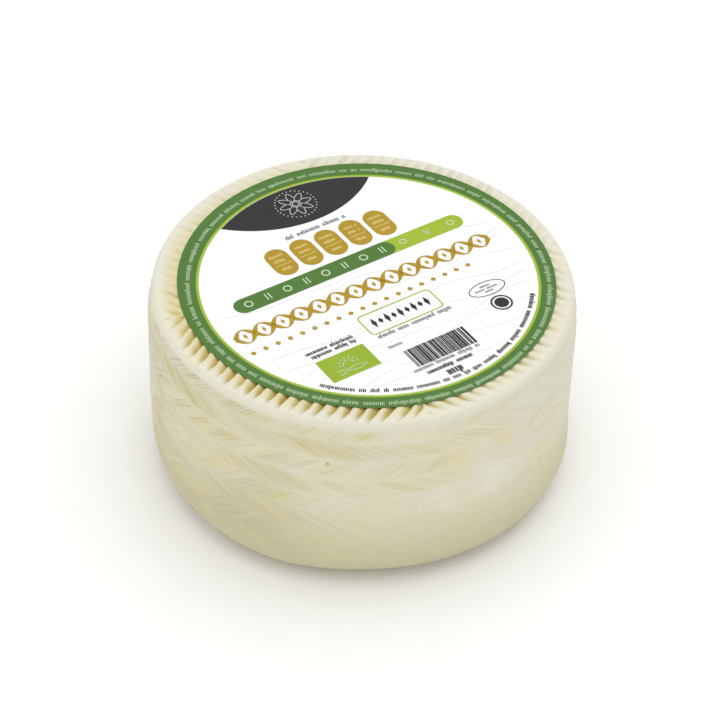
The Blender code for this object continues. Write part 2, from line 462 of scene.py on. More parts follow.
rind = dict(
    ivory=(0.750, 0.728, 0.612, 1), cream=(0.778, 0.730, 0.530, 1), honey=(0.706, 0.638, 0.352, 1),
    # the last colour of the next line is painted shade, for the side darkened towards the bottom
    hollowShade=(0.894, 0.880, 0.828, 1), footShade=(0.580, 0.540, 0.350, 1),
    rimTint=(0.690, 0.592, 0.300, 1), grooveGold=(0.560, 0.478, 0.158, 1),
    grooveDeep=(0.400, 0.290, 0.055, 1), bloom=(0.830, 0.800, 0.720, 1),
    patchGold=(0.765, 0.665, 0.370, 1), pitBrown=(0.560, 0.440, 0.270, 1),
    # noises: lumps to a metre, detail and roughness
    broad=(55, 3), middle=(210, 4, 0.6), fine=(900, 4, 0.6), wobbleScale=260, wobble=0.006,
    # each pair is a range of the noise or the stain, or what that range becomes
    cloudSpan=(0.36, 0.64), broadCloud=(-0.34, 0.34), middleCloud=(-0.25, 0.25),
    honeySpan=(0.35, 0.62), honeyCloud=(0.40, 1.0), mottleSpan=(0.3, 0.7), tintMottle=(0.6, 1.0),
    stainMottle=(0.75, 1.1), goldSpan=(0.08, 0.56), deepSpan=(0.42, 0.92), pitEdge=0.35,
    roughness=(0.48, 0.66), specular=0.28, glow=0.15, glowColours=(1.0, 0.82, 0.55), glowDepth=0.0010,
    # bumps: depth in metres and strength
    fibresPerStrand=3, fibreStray=5.0, fibreBump=(0.00003, 0.6), grainBump=(0.00012, 0.5),
    lumpBump=(0.0004, 0.22),
)
# each stain's direction from the axis (degrees), height, size and strength
goldPatches = ((-82, 0.0374, 0.0050, 0.7), (-96, 0.0364, 0.0050, 0.6), (-160, 0.0288, 0.0040, 0.5))
bloomPatches = ((-86, 0.0275, 0.0085, 0.5), (-99, 0.0260, 0.0080, 0.45))
pits = ((-130.6, 0.0386, 0.00075), (-190, 0.0362, 0.0009))


def onSide(degrees, height):
    # the point of the side at this direction and height
    turn = math.radians(degrees)
    reach = float(plainRadius(np.array(height)))
    return (reach * math.cos(turn), reach * math.sin(turn), height)


def spotShare(tree, where, centre, size, sharp=0.0):
    # 1 at the centre, 0 beyond size
    node = addNode(tree, "VectorMath", operation="DISTANCE")
    feed(tree, node.inputs[0], where)
    node.inputs[1].default_value = centre
    return rescale(tree, node.outputs["Value"], size, size * sharp, smooth=True)


def wobbled(tree, where):
    # places moved a little to and fro by a noise, so that a round stain gets a ragged edge
    noise = addNode(tree, "TexNoise")
    feed(tree, noise.inputs["Vector"], where)
    noise.inputs["Scale"].default_value = rind["wobbleScale"]
    moved = addNode(tree, "VectorMath", operation="MULTIPLY_ADD")
    feed(tree, moved.inputs[0], noise.outputs["Color"])
    moved.inputs[1].default_value = (rind["wobble"],) * 3
    feed(tree, moved.inputs[2], where)
    centred = addNode(tree, "VectorMath", operation="SUBTRACT")
    feed(tree, centred.inputs[0], moved.outputs["Vector"])
    centred.inputs[1].default_value = (rind["wobble"] / 2,) * 3
    return centred.outputs["Vector"]


def rindColour(tree, where, middle):
    # cream and ivory clouds, painted shade at the foot, the weave's honey and shade, the stains, the rim,
    # the pits
    cloud = rescale(tree, addNoise(tree, where, *rind["broad"]), *rind["cloudSpan"], *rind["broadCloud"])
    middleCloud = rescale(tree, middle, *rind["cloudSpan"], *rind["middleCloud"])
    cloud = doMaths(tree, "ADD", cloud, middleCloud)
    pale = doMaths(tree, "ADD", readAttribute(tree, "paleShare"), cloud, clamp=True)
    colour = mixColours(tree, pale, rind["cream"], rind["ivory"])
    # painted shade: the side's colour darkened towards the bottom
    colour = mixColours(tree, readAttribute(tree, "footShadeShare"), colour, rind["footShade"])
    honey = rescale(tree, middle, *rind["honeySpan"], *rind["honeyCloud"])
    honey = doMaths(tree, "MULTIPLY", readAttribute(tree, "honeyShare"), honey, clamp=True)
    colour = mixColours(tree, honey, colour, rind["honey"])
    shade = readAttribute(tree, "strandShare")
    colour = mixColours(tree, shade, colour, rind["hollowShade"], "MULTIPLY")

    ragged = wobbled(tree, where)
    for patches, stain in ((goldPatches, rind["patchGold"]), (bloomPatches, rind["bloom"])):
        for degrees, height, size, strength in patches:
            spot = spotShare(tree, ragged, onSide(degrees, height), size)
            colour = mixColours(tree, doMaths(tree, "MULTIPLY", spot, strength), colour, stain)

    tint = rescale(tree, middle, *rind["mottleSpan"], *rind["tintMottle"])
    tint = doMaths(tree, "MULTIPLY", readAttribute(tree, "tintShare"), tint)
    colour = mixColours(tree, tint, colour, rind["rimTint"])
    stain = rescale(tree, middle, *rind["mottleSpan"], *rind["stainMottle"])
    stain = doMaths(tree, "MULTIPLY", readAttribute(tree, "stainShare"), stain)
    for span, gold in ((rind["goldSpan"], rind["grooveGold"]), (rind["deepSpan"], rind["grooveDeep"])):
        colour = mixColours(tree, rescale(tree, stain, *span, smooth=True), colour, gold)
    for degrees, height, size in pits:
        spot = spotShare(tree, where, onSide(degrees, height), size, rind["pitEdge"])
        colour = mixColours(tree, spot, colour, rind["pitBrown"])
    return colour


def fibreLines(tree, middle):
    # fine lines along the bundles, a few to a strand, which break up where the press was weak
    weave = addNode(tree, "UVMap", uv_map="weaveMap")
    parts = addNode(tree, "SeparateXYZ")
    feed(tree, parts.inputs[0], weave.outputs["UV"])
    linesPerBundle = wheel["strandsPerBundle"] * rind["fibresPerStrand"]
    turns = doMaths(tree, "MULTIPLY", parts.outputs["X"], 2 * math.pi * linesPerBundle)
    strayed = doMaths(tree, "MULTIPLY_ADD", middle, rind["fibreStray"], turns)
    return doMaths(tree, "MULTIPLY", doMaths(tree, "SINE", strayed), readAttribute(tree, "pressShare"))


def rindMaterial():
    # moist pressed curd: satin, faintly see-through, with fibre lines, grain and soft lumps in its bump
    material, tree, shader = newMaterial("pressedRind")
    where = objectCoordinates(tree)
    middle = addNoise(tree, where, *rind["middle"])
    fine = addNoise(tree, where, *rind["fine"])
    feed(tree, shader.inputs["Base Color"], rindColour(tree, where, middle))
    rough = rescale(tree, middle, *rind["mottleSpan"], *rind["roughness"])
    feed(tree, shader.inputs["Roughness"], rough)
    shader.inputs["Specular IOR Level"].default_value = rind["specular"]
    shader.inputs["Subsurface Weight"].default_value = rind["glow"]
    shader.inputs["Subsurface Radius"].default_value = rind["glowColours"]
    shader.inputs["Subsurface Scale"].default_value = rind["glowDepth"]
    fibre = addBump(tree, fibreLines(tree, middle), *rind["fibreBump"])
    grain = addBump(tree, fine, *rind["grainBump"], fibre)
    feed(tree, shader.inputs["Normal"], addBump(tree, middle, *rind["lumpBump"], grain))
    return material


# Label: paper and print

paper = dict(
    radius=(labelHigh.x - labelLow.x) / 2, centreX=(labelHigh.x + labelLow.x) / 2,
    centreY=(labelHigh.y + labelLow.y) / 2, thickness=0.00011, clearance=0.00001,
    flatTop=labelLow.z + 0.00004, innerRing=0.1, flatRings=9, bendFrom=0.90, bendRings=13, columns=216,
    swell=0.000025, swellWaves=((150, 60, 0), (-70, 190, 1.3)), cutEdge=0.995,
    white=(0.930, 0.930, 0.925),
)
# the print sits a little off the middle of the paper, and its rows are turned a little
sheetPrint = dict(
    middleX=paper["centreX"] - 0.00010, middleY=paper["centreY"] - 0.00093,
    turn=math.radians(2.0), unit=0.0434, seed=23,
)
# coated paper and ink: noises to a metre, and how far gloss and bump follow them
coating = dict(
    fibres=(1600, 3, 0.65), clouds=(130, 2), colourSpan=(0.35, 0.65), glossSpan=(0.3, 0.7),
    glossSpread=0.06, specular=0.35, bump=(0.00001, 0.5),
)


def outFromCentre(x, y):
    # 0 at the paper's centre, 1 at its edge
    return np.hypot(x - paper["centreX"], y - paper["centreY"]) / paper["radius"]


def paperTop(x, y):
    # nearly flat, with a faint swell; the last tenth bends down until the underside meets the cheese
    swell = sum(np.sin(overX * x + overY * y + start) for overX, overY, start in paper["swellWaves"])
    rest = wheel["height"] + paper["thickness"] + paper["clearance"]
    bend = smoothStep(paper["bendFrom"], 1.0, outFromCentre(x, y))
    return (paper["flatTop"] + paper["swell"] * swell) * (1 - bend) + rest * bend


def paperSurface():
    # rings out over the top, round the cut edge and back in underneath
    flat = np.linspace(paper["innerRing"], paper["bendFrom"], paper["flatRings"])
    bent = np.linspace(paper["bendFrom"], 1.0, paper["bendRings"])[1:]
    inner = np.concatenate([flat, bent])
    turn = np.arange(paper["columns"]) * 2 * math.pi / paper["columns"]
    reach = np.concatenate([inner, inner[::-1]])[:, None] * paper["radius"]
    x = paper["centreX"] + reach * np.cos(turn)
    y = paper["centreY"] + reach * np.sin(turn)
    drop = np.repeat([0.0, paper["thickness"]], len(inner))[:, None]
    points = np.stack([x, y, paperTop(x, y) - drop], axis=-1)
    centre = (paper["centreX"], paper["centreY"])
    top = float(paperTop(*map(np.array, centre)))
    return points, (*centre, top), (*centre, top - paper["thickness"])


def coatedMaterial(name, colour, roughness=0.46, mottle=0.04, edge=None):
    # coated paper or ink: one colour, faintly mottled, with the paper's fibres just felt in the gloss
    material, tree, shader = newMaterial(name)
    where = objectCoordinates(tree)
    fibres = addNoise(tree, where, *coating["fibres"])
    clouds = addNoise(tree, where, *coating["clouds"])
    darker = tuple(channel * (1 - mottle) for channel in colour) + (1,)
    lighter = tuple(min(1.0, channel * (1 + mottle)) for channel in colour) + (1,)
    both = doMaths(tree, "MULTIPLY_ADD", fibres, 0.5, doMaths(tree, "MULTIPLY", clouds, 0.5))
    coat = mixColours(tree, rescale(tree, both, *coating["colourSpan"]), darker, lighter)
    if edge:
        coat = mixColours(tree, readAttribute(tree, "cutEdge"), coat, edge)  # the cut edge in the ring's green ink: painted shade for the dark line under the label's edge
    feed(tree, shader.inputs["Base Color"], coat)
    gloss = (roughness - coating["glossSpread"], roughness + coating["glossSpread"])
    feed(tree, shader.inputs["Roughness"], rescale(tree, fibres, *coating["glossSpan"], *gloss))
    shader.inputs["Specular IOR Level"].default_value = coating["specular"]
    feed(tree, shader.inputs["Normal"], addBump(tree, both, *coating["bump"]))
    return material


# Print shapes, in label radii with the print's middle at 0, 0 and its rows level

def gridPart(grid):
    # a grid of points as points and quads
    down, over = grid.shape[:2]
    corner = (np.arange(down - 1)[:, None] * over + np.arange(over - 1)).ravel()
    quads = np.stack([corner, corner + 1, corner + over + 1, corner + over], axis=-1)
    return grid.reshape(-1, 2), quads


def barPart(middleX, middleY, length, height, corner=0.0, steps=24, lines=5):
    # a bar with round corners: half its height at each x follows the corner's circle
    x = length / 2 * np.sin(np.linspace(-0.49, 0.49, steps) * math.pi)  # closer together near the ends
    into = np.clip(np.abs(x) - (length / 2 - corner), 0, corner)
    half = height / 2 - corner + np.sqrt(corner**2 - into**2)
    y = np.linspace(-1, 1, lines)[:, None] * half
    return gridPart(np.stack([middleX + np.broadcast_to(x, y.shape), middleY + y], axis=-1))


def ribbonPart(path, width, closed=False):
    # a line of this width along a path, offset to both sides of it; a closed path ends where it starts
    along = np.gradient(path, axis=0)
    if closed:
        along[[0, -1]] = (path[1] - path[-2]) / 2
    along = along / np.hypot(along[:, 0], along[:, 1])[:, None]
    aside = np.stack([-along[:, 1], along[:, 0]], axis=-1)
    aside = aside * (np.asarray(width) * np.ones(len(path)))[:, None] / 2
    return gridPart(np.stack([path - aside, path + aside]))


def ringPart(middleX, middleY, outerX, outerY, inset, steps=72, first=0.0, last=360.0):
    # between an ellipse and the same ellipse made smaller by inset, from one direction to another
    turn = np.radians(np.linspace(first, last, steps + 1))
    shrink = np.array([0.0, 0.5, 1.0])[:, None] * inset
    x = middleX + (outerX - shrink) * np.cos(turn)
    y = middleY + (outerY - shrink) * np.sin(turn)
    return gridPart(np.stack([x, y], axis=-1))


def framePart(middleX, middleY, length, height, corner, inset, steps=8):
    # the outline of a bar with round corners
    turn = np.linspace(0, math.pi / 2, steps)
    signs = np.array([[1, 1], [-1, 1], [-1, -1], [1, -1]])
    turns = turn[None, :] + np.arange(4)[:, None] * math.pi / 2
    loops = []
    for cut in (0.0, inset):
        x = middleX + signs[:, :1] * (length / 2 - corner) + (corner - cut) * np.cos(turns)
        y = middleY + signs[:, 1:] * (height / 2 - corner) + (corner - cut) * np.sin(turns)
        loop = np.stack([x.ravel(), y.ravel()], axis=-1)
        loops.append(np.vstack([loop, loop[:1]]))
    return gridPart(np.stack(loops))


def tilePart(x, y, width, height, turn=0.0):
    # one small turned rectangle for each place
    x, y, width, height, turn = np.broadcast_arrays(*map(np.asarray, (x, y, width, height, turn)))
    cornerX = np.array([-1, 1, 1, -1]) * width[:, None] / 2
    cornerY = np.array([-1, -1, 1, 1]) * height[:, None] / 2
    cos, sin = np.cos(turn)[:, None], np.sin(turn)[:, None]
    cornersX = x[:, None] + cornerX * cos - cornerY * sin
    cornersY = y[:, None] + cornerX * sin + cornerY * cos
    points = np.stack([cornersX, cornersY], axis=-1)
    return points.reshape(-1, 2), np.arange(points.size // 2).reshape(-1, 4)


def lozengePart(x, y, width, height):
    # one diamond for each place
    x, y, width, height = np.broadcast_arrays(*map(np.asarray, (x, y, width, height)))
    cornerX = np.array([1, 0, -1, 0]) * width[:, None] / 2
    cornerY = np.array([0, 1, 0, -1]) * height[:, None] / 2
    points = np.stack([x[:, None] + cornerX, y[:, None] + cornerY], axis=-1)
    return points.reshape(-1, 2), np.arange(points.size // 2).reshape(-1, 4)


# a row's strokes, in heights of the row: their pitch, how many make a word, and how tall they are
strokes = dict(
    pitch=0.29, word=(5, 22), words=400, jitter=0.12, tall=(0.60, 0.64, 0.68, 0.95),
    tallOdds=(0.3, 0.3, 0.25, 0.15), longFrom=0.9, lifts=(0.14, -0.12), liftOdds=(0.7, 0.3),
)


def rowMarks(rng, length, height):
    # places, heights and offsets of a row's short strokes, in groups as long as words
    pitch = strokes["pitch"] * height
    places = np.arange(0, length, pitch)
    breaks = np.cumsum(rng.integers(*strokes["word"], strokes["words"]))
    keep = ~np.isin(np.arange(len(places)), np.concatenate([breaks, breaks + 1]))
    tall = rng.choice(strokes["tall"], len(places), p=strokes["tallOdds"])
    lift = rng.choice(strokes["lifts"], len(places), p=strokes["liftOdds"])
    lift = np.where(tall > strokes["longFrom"], lift, 0.0)
    places = places + rng.uniform(-strokes["jitter"], strokes["jitter"], len(places)) * pitch
    return places[keep], tall[keep] * height, lift[keep] * height


def linePart(rng, middleX, middleY, length, height, weight=0.13):
    # a row of strokes on a straight line
    places, tall, lift = rowMarks(rng, length, height)
    return tilePart(middleX - length / 2 + places, middleY + lift, weight * height, tall)


def arcPart(rng, radius, first, last, height, weight=0.11):
    # a row of strokes on an arc, standing across it
    spread = math.radians(last - first)
    places, tall, lift = rowMarks(rng, radius * abs(spread), height)
    turn = math.radians(first) + math.copysign(1, spread) * places / radius
    reach = radius + lift
    return tilePart(reach * np.cos(turn), reach * np.sin(turn), weight * height, tall, turn - math.pi / 2)


# sizes of a bead and of the two bars beside it, in sizes of the row
beads = dict(pitch=1.7, radius=0.42, line=0.13, apart=0.17, barWidth=0.12, barHeight=0.84, steps=20)


def beadsPart(middleY, first, last, size):
    # beads and reels: a small ring, then two upright bars
    count = int(round((last - first) / (beads["pitch"] * size)))
    places = np.linspace(first, last, count)
    radius, inset = beads["radius"] * size, beads["line"] * size
    parts = [ringPart(x, middleY, radius, radius, inset, beads["steps"]) for x in places[::2]]
    apart = beads["apart"] * size
    bars = np.concatenate([places[1::2] - apart, places[1::2] + apart])
    parts.append(tilePart(bars, middleY, beads["barWidth"] * size, beads["barHeight"] * size))
    return parts


def closeSeams(mesh):
    # merges the first and the last edge of each closed ring, which lie on each other
    whole = bmesh.new()
    whole.from_mesh(mesh)
    bmesh.ops.remove_doubles(whole, verts=whole.verts, dist=0.0000001)
    whole.to_mesh(mesh)
    whole.free()


def inkPiece(name, parts, material, level, film="film"):
    # joins the shapes of one ink, lays them on the paper and gives them the thickness of an ink film
    sizes = [len(points) for points, _ in parts]
    starts = np.concatenate([[0], np.cumsum(sizes)[:-1]])
    points = np.vstack([points for points, _ in parts])
    quads = np.vstack([quads + start for (_, quads), start in zip(parts, starts)])
    corners = points[quads]
    nextOnes = np.roll(corners, -1, axis=1)
    area = (corners[..., 0] * nextOnes[..., 1] - corners[..., 1] * nextOnes[..., 0]).sum(axis=1)
    quads[area < 0] = quads[area < 0][:, ::-1]  # so that every face looks up
    cos, sin = math.cos(sheetPrint["turn"]), math.sin(sheetPrint["turn"])
    x = sheetPrint["middleX"] + sheetPrint["unit"] * (points[:, 0] * cos - points[:, 1] * sin)
    y = sheetPrint["middleY"] + sheetPrint["unit"] * (points[:, 0] * sin + points[:, 1] * cos)
    places = np.stack([x, y, paperTop(x, y) + inkLevels[level]], axis=-1)
    mesh = bpy.data.meshes.new(name)
    mesh.from_pydata(places, [], quads.tolist())
    closeSeams(mesh)
    piece = newObject(name, mesh, material)
    skin = piece.modifiers.new("inkFilm", "SOLIDIFY")
    skin.thickness = inkLevels[film]
    skin.offset = -1
    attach(piece, "root")


inks = dict(
    green=(0.067, 0.176, 0.022), lime=(0.330, 0.470, 0.020), leaf=(0.290, 0.425, 0.014),
    gold=(0.420, 0.265, 0.005), charcoal=(0.014, 0.014, 0.015), pale=(0.540, 0.670, 0.470),
    silver=(0.560, 0.560, 0.560), paleGold=(0.740, 0.600, 0.240), grey=(0.780, 0.770, 0.790),
)
# how high each ink's upper side stands over the paper, and how thick its film is, in metres
inkLevels = dict(
    hills=0.00002, field=0.00003, colour=0.00005, over=0.00007, film=0.00002, thinFilm=0.00001,
)
# the print's shapes, each with its place and size in label radii
ring = dict(edge=0.9985, inner=0.910, lime=0.893, overlap=0.002, steps=300, row=0.953, rowHeight=0.032)
cap = dict(turn=-2.4, arcRadius=0.6854, arcMiddle=1.264, edge=0.892, narrow=0.999, columns=61, rows=13)
band = dict(
    left=-0.843, right=0.744, y=-0.0365, height=0.105, lobes=14, steps=900, thin=0.008, swell=0.020,
    gemWidth=0.022, gemHeight=0.040,
)
emblem = dict(
    x=0.0235, y=0.7496, ring=0.021, ringLine=0.005, petals=8, reach=0.062, halfLength=0.035,
    halfWidth=0.016, taper=(1.15, 0.35), line=0.0042, dots=30, dotReach=0.115, dot=0.007,
)
field = dict(x=-0.451, y=-0.487, length=0.289, height=0.1795)
sun = dict(
    drop=0.012, radius=0.036, line=0.0045, rays=7, raySpread=(12, 168), rayReach=0.056,
    rayLength=0.018, furrow=0.085, furrowDrop=0.022, furrowWave=0.005, furrowRate=60,
)
# the waves' height, waves to a label radius and shift from one line to the next
hills = dict(
    top=0.11, low=-0.74, count=10, reach=0.86, span=0.97, inside=0.865, line=0.0055, steps=90,
    waves=((0.030, 5.1, 1.7), (0.012, 13, 2.3)),
)
code = dict(
    x=0.0195, y=-0.631, length=0.369, height=0.142, bars=30, widths=(1.5, 2.6, 3.8),
    widthOdds=(0.45, 0.35, 0.2), gaps=(0.7, 1.0, 1.8), gapOdds=(0.6, 0.3, 0.1),
)
pill = dict(
    left=-0.721, right=0.720, y=0.1735, greenEnd=0.277, height=0.1135, steps=60,
    firstBead=0.085, limeFirst=0.060, margin=0.075, bead=0.060, limeBead=0.052,
)
# rows: each row's offset, length and height
tokens = dict(
    first=-0.307, last=0.321, count=5, y=0.3735, width=0.132, height=0.2275,
    rows=((0.055, 0.078, 0.022), (0.012, 0.070, 0.028), (-0.060, 0.055, 0.028)), weight=0.16,
    ruleDrop=0.022, rule=(0.100, 0.004),
)
marks = dict(left=-0.820, right=0.520, y=-0.169, size=0.034, count=19)
boxed = dict(
    x=0.000, y=-0.2966, length=0.457, height=0.166, corner=0.030, line=0.008, gems=9,
    gemReach=0.165, gemWidth=0.028, gemHeights=(0.078, 0.048),
)
stamp = dict(
    x=0.4935, y=-0.381, wide=0.1115, tall=0.055, line=0.005, rowHeight=0.018,
    rows=((0.022, 0.06), (0.0, 0.15), (-0.022, 0.05)),
)
disc = dict(x=0.492, y=-0.515, radius=0.0595, line=0.010, core=0.078)
arcRow = dict(radius=0.862, first=-140.2, last=-38.6, height=0.033, weight=0.19)
# middle, length, height and weight of each plain row of strokes
rows = (
    (0.0074, 0.522, 0.379, 0.0355, 0.15), (0.0166, -0.404, 0.450, 0.033, 0.15),
    (-0.168, -0.500, 0.081, 0.029, 0.13), (-0.002, -0.722, 0.398, 0.031, 0.14),
    (-0.005, -0.7647, 0.2835, 0.034, 0.21), (0.001, -0.8157, 0.116, 0.054, 0.22),
    (-0.455, -0.325, 0.293, 0.030, 0.20), (-0.452, -0.3586, 0.268, 0.030, 0.20),
)


def capPart():
    # the dark field: between the ring's inner edge and a circle that hangs into the label from above
    turn = math.radians(cap["turn"])
    meet = (cap["edge"] ** 2 - cap["arcRadius"] ** 2 + cap["arcMiddle"] ** 2) / (2 * cap["arcMiddle"])
    half = math.sqrt(cap["edge"] ** 2 - meet**2) * cap["narrow"]
    x = half * np.sin(np.linspace(-0.5, 0.5, cap["columns"]) * math.pi)
    low = cap["arcMiddle"] - np.sqrt(cap["arcRadius"] ** 2 - x**2)
    high = np.sqrt(cap["edge"] ** 2 - x**2)
    y = low + (high - low) * np.linspace(0, 1, cap["rows"])[:, None]
    x = np.broadcast_to(x, y.shape)
    turnedX = x * math.cos(turn) - y * math.sin(turn)
    turnedY = x * math.sin(turn) + y * math.cos(turn)
    return gridPart(np.stack([turnedX, turnedY], axis=-1))


def guillochePart():
    # two waves that cross, thick on the rise and thin on the turn, with a diamond in each lobe
    length = band["right"] - band["left"]
    along = np.linspace(0, 1, band["steps"])
    phase = along * band["lobes"] * math.pi
    x = band["left"] + length * along
    thick = band["thin"] + band["swell"] * np.cos(phase) ** 2
    parts = []
    for side in (1, -1):
        y = band["y"] + side * band["height"] / 2 * np.sin(phase)
        parts.append(ribbonPart(np.stack([x, y], axis=-1), thick))
    lobes = (np.arange(band["lobes"]) + 0.5) / band["lobes"]
    parts.append(lozengePart(band["left"] + length * lobes, band["y"], band["gemWidth"], band["gemHeight"]))
    return parts


def rosetteParts():
    # eight petals round a small ring, with a circle of dots outside; a petal is wider near the ring
    middleX, middleY = emblem["x"], emblem["y"]
    parts = [ringPart(middleX, middleY, emblem["ring"], emblem["ring"], emblem["ringLine"], 28)]
    steps = np.linspace(0, 2 * math.pi, 33)
    widest, narrowing = emblem["taper"]
    for turn in np.arange(emblem["petals"]) * 2 * math.pi / emblem["petals"]:
        out = emblem["reach"] + emblem["halfLength"] * np.cos(steps)
        aside = emblem["halfWidth"] * np.sin(steps) * (widest - narrowing * np.cos(steps))
        x = middleX + out * math.cos(turn) - aside * math.sin(turn)
        y = middleY + out * math.sin(turn) + aside * math.cos(turn)
        parts.append(ribbonPart(np.stack([x, y], axis=-1), emblem["line"], closed=True))
    turns = np.arange(emblem["dots"]) * 2 * math.pi / emblem["dots"]
    dotX = middleX + emblem["dotReach"] * np.cos(turns)
    dotY = middleY + emblem["dotReach"] * np.sin(turns)
    parts.append(tilePart(dotX, dotY, emblem["dot"], emblem["dot"], turns))
    return parts


def sunParts():
    # half a sun with short rays over two furrows
    middleX, middleY = field["x"], field["y"] - sun["drop"]
    parts = [ringPart(middleX, middleY, sun["radius"], sun["radius"], sun["line"], 30, 0, 180)]
    turns = np.radians(np.linspace(*sun["raySpread"], sun["rays"]))
    rayX = middleX + sun["rayReach"] * np.cos(turns)
    rayY = middleY + sun["rayReach"] * np.sin(turns)
    parts.append(tilePart(rayX, rayY, sun["rayLength"], sun["line"], turns))
    x = np.linspace(-sun["furrow"], sun["furrow"], 60)
    for row in (0, 1):
        wave = sun["furrowWave"] * np.sin(x * sun["furrowRate"] + row * math.pi)
        y = wave - sun["furrowDrop"] * (row + 1)
        parts.append(ribbonPart(np.stack([middleX + x, middleY + y], axis=-1), sun["line"]))
    return parts


def hillParts():
    # faint rolling lines over the lower field, each a level line with two waves added
    parts = []
    for step, level in enumerate(np.linspace(hills["top"], hills["low"], hills["count"])):
        half = hills["span"] * math.sqrt(hills["reach"] ** 2 - level**2)
        x = np.linspace(-half, half, hills["steps"])
        y = np.full(len(x), level)
        for tall, rate, shift in hills["waves"]:
            y = y + tall * np.sin(rate * x + shift * step)
        inside = np.hypot(x, y) < hills["inside"]
        parts.append(ribbonPart(np.stack([x, y], axis=-1)[inside], hills["line"]))
    return parts


def barcodePart(rng):
    # upright bars of three widths at random, which encode nothing
    widths = rng.choice(code["widths"], code["bars"], p=code["widthOdds"])
    gaps = rng.choice(code["gaps"], code["bars"], p=code["gapOdds"])
    places = np.cumsum(widths + gaps) - gaps - widths / 2
    scale = code["length"] / (places[-1] + widths[-1] / 2)
    x = code["x"] - code["length"] / 2 + places * scale
    return tilePart(x, code["y"], widths * scale, code["height"])


def ringBandPart():
    # from the print's own circle out to the paper's edge, which has another middle
    turn = np.radians(np.linspace(0, 360, ring["steps"] + 1))
    shiftX = (paper["centreX"] - sheetPrint["middleX"]) / sheetPrint["unit"]
    shiftY = (paper["centreY"] - sheetPrint["middleY"]) / sheetPrint["unit"]
    circle = np.stack([np.cos(turn), np.sin(turn)], axis=-1)
    edge = ring["edge"] * paper["radius"] / sheetPrint["unit"] * circle + (shiftX, shiftY)
    share = np.linspace(0, 1, 5)[:, None, None]
    return gridPart(ring["inner"] * circle * (1 - share) + edge * share)


def pillPart(left, right):
    # a stretch of the long band across the label, with round ends
    length = right - left
    return barPart(left + length / 2, pill["y"], length, pill["height"], pill["height"] / 2, pill["steps"])


def limeParts():
    # the thin circle inside the ring, the whole long band and the small frame
    edge = ring["inner"] + ring["overlap"]
    frameSize = (boxed["length"], boxed["height"])
    return [
        ringPart(0, 0, edge, edge, ring["inner"] - ring["lime"], 240),
        pillPart(pill["left"], pill["right"]),
        framePart(boxed["x"], boxed["y"], *frameSize, boxed["corner"], boxed["line"]),
    ]


def goldParts(tokenX):
    # the five capsules, the crossing waves and the row of lozenges under them
    size = (tokens["width"], tokens["height"])
    parts = [barPart(x, tokens["y"], *size, tokens["width"] / 2) for x in tokenX]
    parts += guillochePart()
    markX = np.linspace(marks["left"], marks["right"], marks["count"])
    parts.append(lozengePart(markX, marks["y"], marks["size"], marks["size"]))
    return parts


def charcoalParts(rng):
    # the plain rows, the dark field, the bar code, the frame's lozenges, the disc and the oval
    parts = [linePart(rng, *row) for row in rows]
    parts += [capPart(), barcodePart(rng), arcPart(rng, **arcRow)]
    gemX = boxed["x"] + np.linspace(-boxed["gemReach"], boxed["gemReach"], boxed["gems"])
    gemHeights = np.resize(boxed["gemHeights"], boxed["gems"])
    parts.append(lozengePart(gemX, boxed["y"], boxed["gemWidth"], gemHeights))
    parts.append(ringPart(disc["x"], disc["y"], disc["radius"], disc["radius"], disc["line"], 40))
    parts.append(barPart(disc["x"], disc["y"], disc["core"], disc["core"], disc["core"] / 2))
    parts.append(ringPart(stamp["x"], stamp["y"], stamp["wide"], stamp["tall"], stamp["line"], 60))
    for lift, length in stamp["rows"]:
        parts.append(linePart(rng, stamp["x"], stamp["y"] + lift, length, stamp["rowHeight"]))
    return parts


def paleParts(rng):
    # the strokes round the ring, the sun, and the beads on both stretches of the long band
    greenBeads = (pill["left"] + pill["firstBead"], pill["greenEnd"] - pill["margin"])
    limeBeads = (pill["greenEnd"] + pill["limeFirst"], pill["right"] - pill["margin"])
    parts = [arcPart(rng, ring["row"], 90, -270, ring["rowHeight"])]
    parts += sunParts()
    parts += beadsPart(pill["y"], *greenBeads, pill["bead"])
    parts += beadsPart(pill["y"], *limeBeads, pill["limeBead"])
    return parts


def tokenParts(rng, tokenX):
    # three rows of strokes and a thin rule on each capsule
    parts = []
    for x in tokenX:
        for lift, length, height in tokens["rows"]:
            parts.append(linePart(rng, x, tokens["y"] + lift, length, height, tokens["weight"]))
        parts.append(barPart(x, tokens["y"] - tokens["ruleDrop"], *tokens["rule"]))
    return parts


def printLabel():
    # one piece for each ink; the strokes are drawn at random in the order of these calls
    rng = np.random.default_rng(sheetPrint["seed"])
    ink = {}
    for name, colour in inks.items():
        ink[name] = coatedMaterial("ink" + name[0].upper() + name[1:], colour)
    tokenX = np.linspace(tokens["first"], tokens["last"], tokens["count"])
    leaf = barPart(field["x"], field["y"], field["length"], field["height"])
    green = [ringBandPart(), pillPart(pill["left"], pill["greenEnd"])]
    inkPiece("printLime", limeParts(), ink["lime"], "field")
    inkPiece("printLeaf", [leaf], ink["leaf"], "field")
    inkPiece("printGreen", green, ink["green"], "colour")
    inkPiece("printGold", goldParts(tokenX), ink["gold"], "colour")
    inkPiece("printCharcoal", charcoalParts(rng), ink["charcoal"], "colour")
    inkPiece("printPale", paleParts(rng), ink["pale"], "over")
    inkPiece("printSilver", rosetteParts(), ink["silver"], "over")
    inkPiece("printPaleGold", tokenParts(rng, tokenX), ink["paleGold"], "over")
    inkPiece("printHills", hillParts(), ink["grey"], "hills", "thinFilm")


# Making the object

points, shares, rowsDown = wheelSurface()
wheelMesh = turnedMesh("cheeseWheel", points, (0, 0, wheel["height"]), (0, 0, 0))
addWheelData(wheelMesh, shares, rowsDown)
wheelPiece = newObject("cheeseWheel", wheelMesh, rindMaterial())
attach(wheelPiece, "root")
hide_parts("cheese_wheel")
print("cheese wheel:", len(wheelMesh.polygons), "faces")

